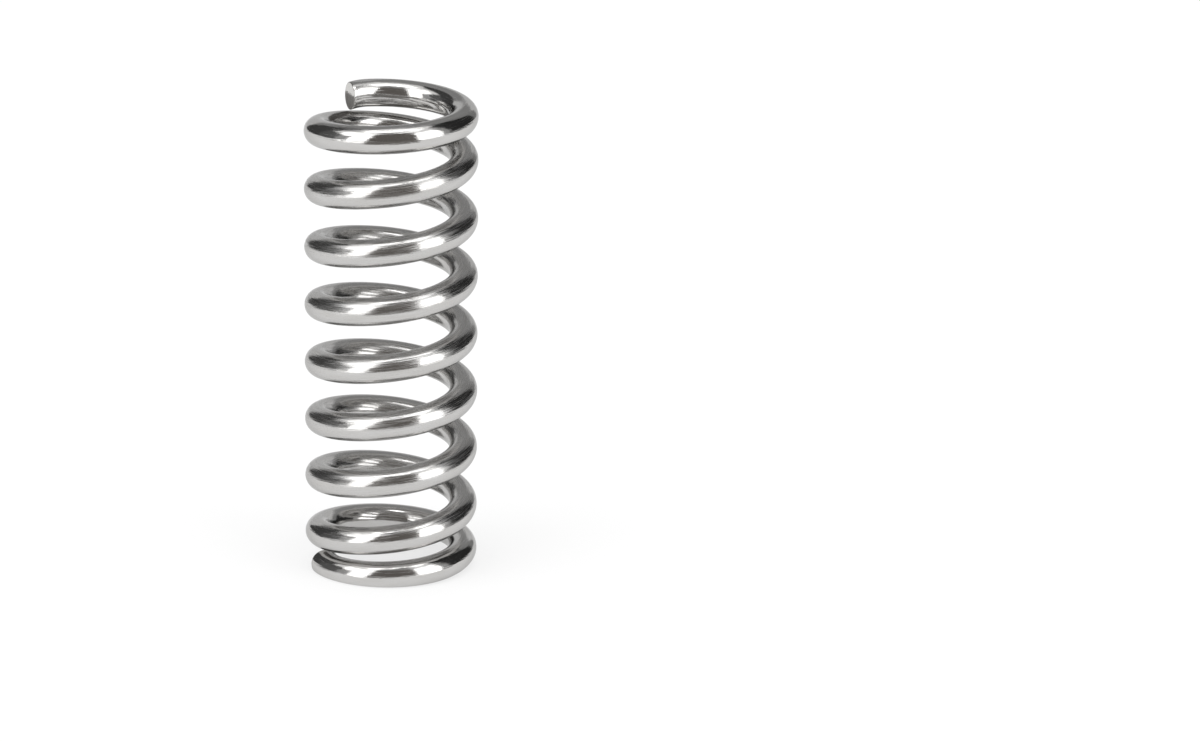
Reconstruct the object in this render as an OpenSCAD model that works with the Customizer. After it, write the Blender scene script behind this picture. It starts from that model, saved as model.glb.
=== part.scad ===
// Compression spring for one corner of a levelled bed, standing on its lower end.
// It is one length of round wire, wound right-handed, with both ends closed.
// The ends are ground flat: deeply at the bottom, with a light skim at the top.
// All sizes are in millimetres, and the coil's axis is +Z.

/* [Coil] */
// Length of the spring when nothing presses on it
free_length = 20.7; // [17:0.1:26]
// Diameter over the outside of the coils
outer_d = 7.4; // [5.5:0.1:10]
// Turns of wire from one tip to the other
total_turns = 8.78; // [7:0.01:10]
// Direction of the lower tip, in degrees round from +X
start_angle = 204; // [0:1:359]

/* [Wire] */
// Diameter of the drawn wire
wire_d = 1.2; // [0.9:0.05:1.5]

/* [Closed ends] */
// Turns that lie nearly flat at each end
closed_turns = 0.76; // [0.6:0.01:0.8]
// Turns over which the wire climbs from the closed slope to the open one
ramp_turns = 0.4; // [0.1:0.02:0.4]
// Air left between a tip and the next coil
tip_gap = 0.14; // [0.02:0.01:0.2]
// Angle by which each shear cut is out of square
shear_angle = 15; // [0:1:25]

/* [Ground faces] */
// Depth ground off the wire at the lower tip
bottom_grind = 0.38; // [0.1:0.01:0.42]
// Depth ground off the wire at the upper tip
top_grind = 0.08; // [0.05:0.01:0.42]

/* [Smoothness] */
// Flats round the wire
wire_flats = 16; // [8:2:20]
// Rings of points in one turn of the coil
turn_rings = 36; // [24:1:40]

/* [Hidden] */

wire_r = wire_d / 2;
coil_r = (outer_d - wire_d) / 2;

// Rise of the wire's centre from tip to tip, and over a closed turn that just clears its neighbour
tip_rise = free_length - wire_d + bottom_grind + top_grind;
closed_turn_rise = wire_d + tip_gap;

// Each end turn takes one closed rise, and the turns between share what is left
pitch = (tip_rise - 2 * closed_turn_rise) / (total_turns - 2);
closed_lead = (closed_turn_rise - pitch * (1 - closed_turns)) / closed_turns;

rings = ceil(total_turns * turn_rings);

// Share of the open slope reached at turn t, where the change is centred on turn c
function ramp(t, c) =
    let (x = min(max((t - c) / ramp_turns + 0.5, 0), 1))
    x * x * (3 - 2 * x);

// The ramp's integral: how many turns' worth of open slope have been gained by turn t
function climbed(t, c) =
    let (x = (t - c) / ramp_turns + 0.5)
    x <= 0 ? 0 : x >= 1 ? t - c : ramp_turns * (x ^ 3 - x ^ 4 / 2);

// Slope of the wire at turn t, as rise in a whole turn
function lead(t) =
    closed_lead
    + (pitch - closed_lead) * (ramp(t, closed_turns) - ramp(t, total_turns - closed_turns));

// Height of the wire's centre at turn t, above the lower ground face
function height(t) =
    wire_r - bottom_grind + closed_lead * t
    + (pitch - closed_lead) * (climbed(t, closed_turns) - climbed(t, total_turns - closed_turns));

// Section of the wire at turn t, square to it, or turned by the shear angle where it is a cut
function section(t, cut) =
    let (
        a = start_angle + 360 * t,
        slope = atan(lead(t) / (2 * PI * coil_r)),
        outward = [cos(a), sin(a), 0],
        along = [-sin(a) * cos(slope), cos(a) * cos(slope), sin(slope)],
        up = cross(outward, along),
        centre = coil_r * outward + [0, 0, height(t)]
    )
    [for (i = [0 : wire_flats - 1])
        let (q = 360 * i / wire_flats)
        centre + wire_r * (cos(q) * (outward - (cut ? tan(shear_angle) : 0) * along) + sin(q) * up)];

module wire() {
    points = [for (k = [0 : rings]) each section(total_turns * k / rings, k == 0 || k == rings)];
    sides = [for (k = [0 : rings - 1], i = [0 : wire_flats - 1])
        let (a = k * wire_flats + i, b = k * wire_flats + (i + 1) % wire_flats)
        [a, a + wire_flats, b + wire_flats, b]];
    lower_cut = [for (i = [0 : wire_flats - 1]) i];
    upper_cut = [for (i = [wire_flats - 1 : -1 : 0]) rings * wire_flats + i];
    polyhedron(points, [each sides, lower_cut, upper_cut]);
}

// What the grinding wheels take off below and above the finished length
module ground_away() {
    block = [2 * outer_d, 2 * outer_d, 2 * wire_d];
    translate([-outer_d, -outer_d, -block.z]) cube(block);
    translate([-outer_d, -outer_d, free_length]) cube(block);
}

module coil_spring() {
    color("silver") difference() {
        wire();
        ground_away();
    }
}

coil_spring();
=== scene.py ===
import math

import bpy
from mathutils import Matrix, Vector


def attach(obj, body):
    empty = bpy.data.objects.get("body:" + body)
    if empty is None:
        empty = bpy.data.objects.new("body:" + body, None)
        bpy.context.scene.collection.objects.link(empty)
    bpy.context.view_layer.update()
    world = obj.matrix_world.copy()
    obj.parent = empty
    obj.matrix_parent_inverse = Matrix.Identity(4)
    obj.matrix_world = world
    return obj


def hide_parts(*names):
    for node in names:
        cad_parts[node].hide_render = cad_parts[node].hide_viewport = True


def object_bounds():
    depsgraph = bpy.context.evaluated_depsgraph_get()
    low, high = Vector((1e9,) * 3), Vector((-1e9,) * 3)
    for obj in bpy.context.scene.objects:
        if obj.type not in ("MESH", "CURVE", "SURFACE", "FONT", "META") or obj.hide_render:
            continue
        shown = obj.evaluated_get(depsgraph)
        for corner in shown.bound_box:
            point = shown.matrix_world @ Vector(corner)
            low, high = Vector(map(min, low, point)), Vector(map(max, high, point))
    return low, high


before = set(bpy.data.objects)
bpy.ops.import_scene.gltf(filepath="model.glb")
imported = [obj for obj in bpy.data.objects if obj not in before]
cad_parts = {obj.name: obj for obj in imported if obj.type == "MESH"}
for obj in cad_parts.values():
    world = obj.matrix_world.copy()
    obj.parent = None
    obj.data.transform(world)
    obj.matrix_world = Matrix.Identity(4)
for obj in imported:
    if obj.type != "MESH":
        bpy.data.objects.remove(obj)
cad_low, cad_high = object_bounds()


# Coiled wire
# One length of hard-drawn carbon steel spring wire, wound right-handed on a coiling machine.
# The machine closes the turns at both ends and shears the wire off at each tip, and a pair of
# grinding wheels then takes the lower tip down to a flat seat and just skims the upper one.

# In metres and radians. The overall size comes from the frame, to the nearest hundredth of a
# millimetre, and the rest as far as the grinds repeats the solid's own sizes
decimals = 5
coil_sizes = {
    "Free length": round(cad_high.z - cad_low.z, decimals),
    "Outer diameter": round(cad_high.x - cad_low.x, decimals),
    "Wire diameter": 0.0012,
    "Turns": 8.78,
    "Start angle": math.radians(204),
    "Closed turns": 0.76,
    "Ramp turns": 0.4,
    "Tip gap": 0.00014,
    "Shear slant": math.tan(math.radians(15)),
    "Lower grind": 0.00038,
    "Upper grind": 0.00008,
    "Edge rounding": 0.00003,
    "Fracture depth": 0.00004,
    "Tip drag": 0.00009,
    "Drag reach": 0.0009,
}
rings_in_a_turn = 120
coil_counts = {
    "Rings": math.ceil(coil_sizes["Turns"] * rings_in_a_turn),
    "Points round": 64,
    "Cut rings": 8,
}


class Out:
    """A node's output. Writing sums and products of outputs adds the Math nodes that work them out."""

    def __init__(self, socket):
        self.socket = socket

    def __getitem__(self, name):
        return Out(self.socket.node.outputs[name])

    def __add__(self, other):
        return maths("ADD", self, other)

    def __radd__(self, other):
        return maths("ADD", other, self)

    def __sub__(self, other):
        return maths("SUBTRACT", self, other)

    def __rsub__(self, other):
        return maths("SUBTRACT", other, self)

    def __mul__(self, other):
        return maths("MULTIPLY", self, other)

    def __rmul__(self, other):
        return maths("MULTIPLY", other, self)

    def __truediv__(self, other):
        return maths("DIVIDE", self, other)

    def __rtruediv__(self, other):
        return maths("DIVIDE", other, self)

    def __pow__(self, other):
        return maths("POWER", self, other)

    def __gt__(self, other):
        return maths("GREATER_THAN", self, other)


def node(tree, kind, settings=None, **inputs):
    """Adds a node, makes its settings and then its inputs, and gives its first output in use.

    An input takes a number or another node's output, and a list fills inputs that share a name."""
    made = tree.nodes.new(kind)
    for name, value in (settings or {}).items():
        setattr(made, name, value)
    for name, value in inputs.items():
        sockets = [s for s in made.inputs if s.enabled and s.name == name.replace("_", " ")]
        for socket, each in zip(sockets, value if isinstance(value, list) else [value]):
            if isinstance(each, Out):
                tree.links.new(each.socket, socket)
            else:
                socket.default_value = each
    outputs = [s for s in made.outputs if s.enabled]
    return Out(outputs[0]) if outputs else None


def maths(operation, *terms):
    """Adds a Math node to the tree that its terms come from."""
    tree = next(term.socket.id_data for term in terms if isinstance(term, Out))
    return node(tree, "ShaderNodeMath", {"operation": operation}, Value=list(terms))


def smaller(one, other):
    return maths("MINIMUM", one, other)


def larger(one, other):
    return maths("MAXIMUM", one, other)


def between(value, low=0.0, high=1.0):
    """The value, kept between two limits."""
    return smaller(larger(value, low), high)


def rise(value, middle, width):
    """Climbs evenly from 0 to 1 as the value passes a middle, over a width."""
    return between((value - middle) / width + 0.5)


coil_tree = bpy.data.node_groups.new("coiled_wire", "GeometryNodeTree")
coil_inputs = {}
socket_kinds = {"NodeSocketFloat": coil_sizes, "NodeSocketInt": coil_counts, "NodeSocketMaterial": ["Finish"]}
for kind, names in socket_kinds.items():
    for name in names:
        coil_inputs[name] = coil_tree.interface.new_socket(name, in_out="INPUT", socket_type=kind)
coil_tree.interface.new_socket("Geometry", in_out="OUTPUT", socket_type="NodeSocketGeometry")
given = node(coil_tree, "NodeGroupInput")
rings = given["Rings"]
points_round = given["Points round"]
cut_rings = given["Cut rings"]
rounding = given["Edge rounding"]


def stored(geometry, name, value, kind="FLOAT"):
    """The geometry with a named value on each of its points."""
    return node(coil_tree, "GeometryNodeStoreNamedAttribute", {"data_type": kind, "domain": "POINT"},
                Geometry=geometry, Name=name, Value=value)


# A rail with one point to a ring, and a profile with one point to a flat, carry their own counts
index = node(coil_tree, "GeometryNodeInputIndex")
rail = node(coil_tree, "GeometryNodeResampleCurve", {"mode": "COUNT"},
            Curve=node(coil_tree, "GeometryNodeCurvePrimitiveLine"),
            Count=rings + 2 * cut_rings + 1)
profile = node(coil_tree, "GeometryNodeCurvePrimitiveCircle", {"mode": "RADIUS"}, Resolution=points_round)
skin = node(coil_tree, "GeometryNodeCurveToMesh", None, Fill_Caps=True,
            Curve=stored(rail, "ring_count", index), Profile_Curve=stored(profile, "point_count", index))
ring_count = node(coil_tree, "GeometryNodeInputNamedAttribute", {"data_type": "FLOAT"}, Name="ring_count")
point_count = node(coil_tree, "GeometryNodeInputNamedAttribute", {"data_type": "FLOAT"}, Name="point_count")

# Helix: closed turns at both ends, one even pitch between them, and a smooth ramp from one to the other
wire_r = given["Wire diameter"] / 2
coil_r = (given["Outer diameter"] - given["Wire diameter"]) / 2
turn_length = coil_r * (2 * math.pi)
turns = given["Turns"]
closed = given["Closed turns"]
ramp = given["Ramp turns"]
closed_rise = given["Wire diameter"] + given["Tip gap"]
tip_rise = given["Free length"] - given["Wire diameter"] + given["Lower grind"] + given["Upper grind"]
pitch = (tip_rise - 2 * closed_rise) / (turns - 2)
closed_lead = (closed_rise - pitch * (1 - closed)) / closed

# Rings past a tip lie on the cut: the first few round its edge, and the rest shrink to its middle
edge_rings = 2
last_ring = 0.04
cut_ring = larger(larger(cut_rings - ring_count, ring_count - (rings + cut_rings)), 0)
edge_angle = smaller(cut_ring, edge_rings) * (math.pi / 2 / edge_rings)
edge_turns = rounding / turn_length * (1 - maths("SINE", edge_angle))
on_cut = between((cut_ring - edge_rings) / (cut_rings - edge_rings))
shrink = (1 - rounding / wire_r * (1 - maths("COSINE", edge_angle))) * (1 - (1 - last_ring) * on_cut)
turn = between(between((ring_count - cut_rings) / rings) * turns, edge_turns, turns - edge_turns)


def climbed(middle):
    """The extra turns' worth of open pitch gained since the ramp round a turn."""
    share = rise(turn, middle, ramp)
    return ramp * (share ** 3 - share ** 4 / 2) + larger(turn - middle - ramp / 2, 0)


def opened(middle):
    """The open pitch's share of the slope after the ramp round a turn."""
    share = rise(turn, middle, ramp)
    return share * share * (3 - 2 * share)


# The blade drags each tip a little way towards its neighbouring coil as it cuts
tip_distance = smaller(turn, turns - turn) * turn_length
inwards = 1 - 2 * (turn > turns / 2)
dragged = given["Tip drag"] * between(1 - tip_distance / given["Drag reach"]) ** 2
height = (wire_r - given["Lower grind"] + closed_lead * turn
          + (pitch - closed_lead) * (climbed(closed) - climbed(turns - closed)) + inwards * dragged)
lead = closed_lead + (pitch - closed_lead) * (opened(closed) - opened(turns - closed))
steepness = lead / turn_length
slope_cos = 1 / maths("SQRT", 1 + steepness * steepness)
slope_sin = steepness * slope_cos

# Section: a circle whose points crowd to the corners of each ground flat
half_round = points_round / 2
half_count = smaller(point_count, points_round - point_count)
side = 2 * (point_count > half_round) - 1
least_flat = math.radians(12)
corner = math.radians(3)
crowd = 4


def flat_angle(gap):
    """Half the angle that a ground face takes from the section, from its distance to the wire's centre."""
    share = between(gap / (wire_r * slope_cos), -1, 1)
    return larger(maths("ARCCOSINE", share), least_flat)


def crowded(step, flat):
    """Angle from the middle of a flat to the next few points: two on the flat and the rest on its corner."""
    across = flat / 2 * between(step) + (flat / 2 - corner) * between(step - 1)
    return across + corner * between(step - 2, 0, crowd - 2)


lower_flat = flat_angle(height)
upper_flat = flat_angle(given["Free length"] - height)
open_share = between((half_count - crowd) / (half_round - 2 * crowd))
down_angle = (crowded(half_count, lower_flat)
              + (math.pi - 2 * corner - lower_flat - upper_flat) * open_share
              + upper_flat + corner - crowded(half_round - half_count, upper_flat))
out_from_centre = side * wire_r * maths("SINE", down_angle)
up_from_centre = -1 * wire_r * maths("COSINE", down_angle)

# Shear: the cut lies askew, and the rings near it lean with it
lean = given["Shear slant"] * between(1 - tip_distance / given["Wire diameter"])
along_wire = -1 * lean * out_from_centre
ground_level = -1 * (height + along_wire * slope_sin) / slope_cos
skim_level = (given["Free length"] - height - along_wire * slope_sin) / slope_cos
ground_up = maths("SMOOTH_MAX", up_from_centre, ground_level, rounding)
ground_up = maths("SMOOTH_MIN", ground_up, skim_level, rounding)
past_flat = larger(ground_level - up_from_centre, up_from_centre - skim_level)
flat_border = rounding * 0.6
on_flat = rise(past_flat, middle=0, width=flat_border) * (1 - between(cut_ring))

# Fracture: the blade shears half of each cut cleanly, and the rest breaks away rough and a little sunk
step_at = -0.08
step_width = 0.2
least_sunk = 0.35
torn_side = shrink * ground_up / wire_r * inwards
fractured = rise(torn_side, middle=step_at, width=step_width) * between(on_cut * 3)
mm_in_a_metre = 1000
lay = node(coil_tree, "ShaderNodeCombineXYZ", None, X=turn * turn_length * mm_in_a_metre,
           Y=shrink * out_from_centre / wire_r, Z=shrink * ground_up / wire_r)
crumble = node(coil_tree, "ShaderNodeTexNoise", {"noise_dimensions": "3D"}, Vector=lay, Scale=3.5, Detail=3.0)
torn = fractured * (least_sunk + crumble) * given["Fracture depth"]
along_wire = shrink * along_wire + inwards * torn

# Each point takes its place round the coil, and keeps where it lies on the wire and on which face
bearing = given["Start angle"] + turn * (2 * math.pi)
bearing_cos = maths("COSINE", bearing)
bearing_sin = maths("SINE", bearing)
reach = coil_r + shrink * out_from_centre
lift = shrink * ground_up
sideways = lift * slope_sin - along_wire * slope_cos
position = node(coil_tree, "ShaderNodeCombineXYZ", None,
                X=reach * bearing_cos + sideways * bearing_sin,
                Y=reach * bearing_sin - sideways * bearing_cos,
                Z=height + along_wire * slope_sin + lift * slope_cos)
skin = stored(skin, "wire_lay", lay, "FLOAT_VECTOR")
skin = stored(skin, "ground_face", on_flat)
skin = stored(skin, "cut_face", between(cut_ring - 1))
skin = node(coil_tree, "GeometryNodeSetPosition", None, Geometry=skin, Position=position)
for spent in ("ring_count", "point_count"):
    skin = node(coil_tree, "GeometryNodeRemoveAttribute", None, Geometry=skin, Name=spent)
skin = node(coil_tree, "GeometryNodeSetShadeSmooth", None, Geometry=skin)
skin = node(coil_tree, "GeometryNodeRealizeInstances", None, Geometry=skin)
skin = node(coil_tree, "GeometryNodeSetMaterial", None, Geometry=skin, Material=given["Finish"])
node(coil_tree, "NodeGroupOutput", None, Geometry=skin)

# Finish: bright plating over drawn wire. wire_lay holds the millimetres round the coil from the lower
# tip, and how far out and up the point is from the wire's centre, in wire radii


def new_material(name):
    """A material with an empty node tree."""
    made = bpy.data.materials.new(name)
    made.use_nodes = True
    made.node_tree.nodes.clear()
    return made


plated_wire = new_material("plated_wire")
plating = plated_wire.node_tree
on_wire = node(plating, "ShaderNodeAttribute", {"attribute_name": "wire_lay"})["Vector"]
in_space = node(plating, "ShaderNodeTexCoord")["Object"]
laid = node(plating, "ShaderNodeSeparateXYZ", None, Vector=on_wire)
ground = node(plating, "ShaderNodeAttribute", {"attribute_name": "ground_face"})["Fac"]
cut = node(plating, "ShaderNodeAttribute", {"attribute_name": "cut_face"})["Fac"]
flank = 1 - larger(ground, cut)


def grain(where, scale, detail, turned=0.0):
    """Noise from -1 to 1, stretched by the scale it has in each direction."""
    stretched = node(plating, "ShaderNodeMapping", None, Vector=where, Rotation=(0, 0, turned), Scale=scale)
    made = node(plating, "ShaderNodeTexNoise", {"noise_dimensions": "3D"},
                Vector=stretched, Scale=1.0, Detail=detail, Roughness=0.55)
    return made * 2 - 1


def blend(share, one, other):
    """A colour that goes from one to the other as the share rises."""
    return node(plating, "ShaderNodeMix", {"data_type": "RGBA"}, Factor=share, A=one, B=other)


die_lines = grain(on_wire, scale=(0.7, 7, 7), detail=2.0)
fine_lines = grain(on_wire, scale=(1.1, 32, 32), detail=1.0)
dimples = grain(on_wire, scale=(14, 9, 9), detail=2.0)
patches = grain(on_wire, scale=(0.8, 2.5, 2.5), detail=2.0)
wheel_marks = grain(in_space, scale=(4000, 90000, 4000), detail=2.0, turned=0.6)
blade_lines = grain(on_wire, scale=(3, 30, 3), detail=2.0)
torn_grain = grain(on_wire, scale=(20, 12, 12), detail=3.0)

# The torn part of each cut is the side that faces the middle of the spring, with a ragged border
coil_d = coil_sizes["Outer diameter"] - coil_sizes["Wire diameter"]
lay_end = coil_sizes["Turns"] * math.pi * coil_d * mm_in_a_metre
raggedness = 0.35
towards_middle = laid["Z"] * (1 - 2 * (laid["X"] > lay_end / 2)) + torn_grain * raggedness
torn_share = rise(towards_middle, middle=-0.16, width=0.111)
torn_cut = cut * torn_share
clean_cut = cut * (1 - torn_share)

# Relief: where each kind of mark lies, its pattern, and its depth in micrometres
micrometre = 0.000001
inner_share = 0.4
outside = inner_share + (1 - inner_share) * rise(laid["Y"], middle=-0.1, width=1.0)
marks = (
    (flank * outside, die_lines, 4.5),
    (flank, fine_lines, 0.5),
    (flank, dimples, 1.0),
    (ground, wheel_marks, 1.2),
    (clean_cut, blade_lines, 1.5),
    (torn_cut, torn_grain, 14.0),
)
relief = node(plating, "ShaderNodeBump", None, Strength=1.0, Distance=micrometre,
              Height=sum(where * pattern * depth for where, pattern, depth in marks))

# Colour: the plating varies a little, and the cuts are bare steel. The clean part of each cut is painted
# brighter than bare steel, a painted highlight, and the torn part is its own dull grey darkened further by
# painted shade
warm_plating = (0.54, 0.53, 0.515, 1)
cool_plating = (0.59, 0.585, 0.58, 1)
bare_steel_and_painted_highlight = (0.74, 0.73, 0.71, 1)
torn_steel_and_painted_shade = (0.19, 0.18, 0.17, 1)
colour = blend(rise(patches, middle=0, width=1.11), warm_plating, cool_plating)
# The clean cut's colour is bare steel with a painted highlight on it
colour = blend(clean_cut, colour, bare_steel_and_painted_highlight)
# The torn cut's colour is dull steel with painted shade on it
colour = blend(torn_cut * 0.9, colour, torn_steel_and_painted_shade)

# Roughness: fine dull lines run along the open turns, and thin out between 30 and 14 mm from each tip
nearest_tip = smaller(laid["X"], lay_end - laid["X"])
open_turns = rise(nearest_tip, middle=22, width=16)
dull_lines = rise(fine_lines + patches * 0.2 + open_turns * 0.36, middle=0.36, width=0.556)
roughness = (0.1 + patches * 0.03 + dull_lines * 0.24
             + ground * 0.14 + clean_cut * 0.12 + torn_cut * 0.37)

metal = node(plating, "ShaderNodeBsdfPrincipled", None, Base_Color=colour, Metallic=1.0, Normal=relief,
             Specular_Tint=(0.7, 0.7, 0.7, 1), Roughness=between(roughness, low=0.05, high=0.8))
node(plating, "ShaderNodeOutputMaterial", None, Surface=metal)


def new_object(name, data):
    """A new object in the scene."""
    made = bpy.data.objects.new(name, data)
    bpy.context.scene.collection.objects.link(made)
    return made


maker = new_object("coil_maker", bpy.data.meshes.new("coil_maker"))
coiling = maker.modifiers.new("coiling", "NODES")
coiling.node_group = coil_tree
for name, value in {**coil_sizes, **coil_counts, "Finish": plated_wire}.items():
    coiling[coil_inputs[name].identifier] = value
evaluated = maker.evaluated_get(bpy.context.evaluated_depsgraph_get())
coiled_wire = new_object("coiled_wire", bpy.data.meshes.new_from_object(evaluated))
coiled_wire.data.name = "coiled_wire"
bpy.data.objects.remove(maker)
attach(coiled_wire, "root")
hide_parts("coil_spring")


# Floor
# A broad sheet of matt white board, laid flat. The spring stands near its front edge, so the front
# of the coils mirrors the low card beyond that edge, and not only white.

half_width = 1.2
front_edge = -0.045
back_edge = 2
just_under_seat = -0.00002
corners = ((-half_width, front_edge), (half_width, front_edge),
           (half_width, back_edge), (-half_width, back_edge))
board_mesh = bpy.data.meshes.new("floor")
board_mesh.from_pydata([(x, y, just_under_seat) for x, y in corners], [], [(0, 1, 2, 3)])
floor = new_object("floor", board_mesh)

# To the camera and in the metal, part of the board's light is an even white, so its shadow is faint
white_board = new_material("white_board")
board_tree = white_board.node_tree
even_share = 0.68
rays = node(board_tree, "ShaderNodeLightPath")
seen = larger(rays["Is Camera Ray"], larger(rays["Is Glossy Ray"], rays["Is Transmission Ray"]))
matt = node(board_tree, "ShaderNodeBsdfDiffuse", None, Color=(0.78, 0.78, 0.78, 1))
white = node(board_tree, "ShaderNodeEmission", None, Color=(1, 1, 1, 1), Strength=1.0)
board = node(board_tree, "ShaderNodeMixShader", None, Fac=seen * even_share, Shader=[matt, white])
node(board_tree, "ShaderNodeOutputMaterial", None, Surface=board)
board_mesh.materials.append(white_board)


# Light
# A photographer's tent of white cloth, with a soft panel overhead and a tall one on each side in front.
# Dark and grey cards hang between and behind them, because bright wire shows its form by what it mirrors.

tent = bpy.data.worlds.new("tent")
bpy.context.scene.world = tent
tent.use_nodes = True
cloth = tent.node_tree.nodes["Background"]
cloth.inputs["Color"].default_value = (1, 1, 1, 1)
cloth.inputs["Strength"].default_value = 1.0

coil_middle = Vector((0, 0, cad_high.z / 2))
panel_distance = 0.45
card_distance = 0.39


def direction(azimuth, elevation):
    """Unit vector to a compass direction: azimuth 0 is the camera's side, and 90 is to its right."""
    a, e = math.radians(azimuth), math.radians(elevation)
    return Vector((math.sin(a) * math.cos(e), -math.cos(a) * math.cos(e), math.sin(e)))


def panel(name, azimuth, elevation, width, height, brightness):
    """A soft panel of light that faces the spring, seen in reflections but not by the camera."""
    lamp = bpy.data.lights.new(name, "AREA")
    lamp.shape = "RECTANGLE"
    lamp.size = width
    lamp.size_y = height
    lamp.energy = brightness * math.pi * width * height
    stand = new_object(name, lamp)
    stand.location = coil_middle + direction(azimuth, elevation) * panel_distance
    stand.rotation_mode = "QUATERNION"
    stand.rotation_quaternion = direction(azimuth, elevation).to_track_quat("Z", "Y")
    stand.visible_camera = False


def card(name, azimuths, elevations, brightness, tint=(1, 1, 1)):
    """A card bent round the spring from one direction to another, seen only in reflections."""
    across, up = 24, 12
    points = []
    for j in range(up + 1):
        elevation = elevations[0] + (elevations[1] - elevations[0]) * j / up
        for i in range(across + 1):
            azimuth = azimuths[0] + (azimuths[1] - azimuths[0]) * i / across
            points.append(direction(azimuth, elevation) * card_distance)
    row = across + 1
    faces = [(j * row + i, j * row + i + 1, (j + 1) * row + i + 1, (j + 1) * row + i)
             for j in range(up) for i in range(across)]
    mesh = bpy.data.meshes.new(name)
    mesh.from_pydata(points, [], faces)
    paint = new_material(name)
    shade = node(paint.node_tree, "ShaderNodeEmission", None, Color=(*tint, 1), Strength=brightness)
    node(paint.node_tree, "ShaderNodeOutputMaterial", None, Surface=shade)
    mesh.materials.append(paint)
    made = new_object(name, mesh)
    made.visible_camera = False
    made.visible_diffuse = False
    made.visible_shadow = False


panel("overhead_panel", azimuth=0, elevation=83, width=0.37, height=0.14, brightness=2.2)
panel("left_panel", azimuth=-58, elevation=27, width=0.40, height=0.58, brightness=1.45)
panel("right_panel", azimuth=52, elevation=24, width=0.30, height=0.46, brightness=1.7)
brown_tint = (1.0, 0.93, 0.87)
pale_brown_tint = (1.0, 0.95, 0.9)
card("left_edge_card", azimuths=(-80, -61), elevations=(0, 36), brightness=0.4)
card("left_card", azimuths=(-112, -80), elevations=(0, 40), brightness=0.12)
card("left_back_card", azimuths=(-152, -112), elevations=(0, 66), brightness=0.07)
card("low_front_card", azimuths=(-36, 38), elevations=(-32, 0), brightness=0.22, tint=pale_brown_tint)
card("front_card", azimuths=(-32, 34), elevations=(0, 58), brightness=0.16, tint=brown_tint)
card("high_front_card", azimuths=(-32, 34), elevations=(58, 72), brightness=0.35)
card("right_edge_card", azimuths=(70, 83), elevations=(0, 55), brightness=0.4)
card("right_card", azimuths=(83, 138), elevations=(0, 66), brightness=0.03)
card("right_back_card", azimuths=(138, 152), elevations=(0, 66), brightness=0.3)
card("low_back_card", azimuths=(152, 208), elevations=(0, 22), brightness=0.8)
card("high_back_card", azimuths=(152, 208), elevations=(22, 72), brightness=0.34)


# Camera
# A long lens about 21 cm away and a little above, with the spring left of the middle of the picture.

aim = Vector((0, 0, 0.01025))
above = 16.69
distance = 0.2086
lens = bpy.data.cameras.new("camera")
lens.sensor_width = 36
lens.lens = 146.25
lens.shift_x = 0.1741
lens.shift_y = -0.0311
camera = new_object("camera", lens)
camera.location = aim + direction(0, above) * distance
camera.rotation_mode = "QUATERNION"
camera.rotation_quaternion = direction(0, above).to_track_quat("Z", "Y")
bpy.context.scene.camera = camera
bpy.context.scene.view_settings.view_transform = "Standard"
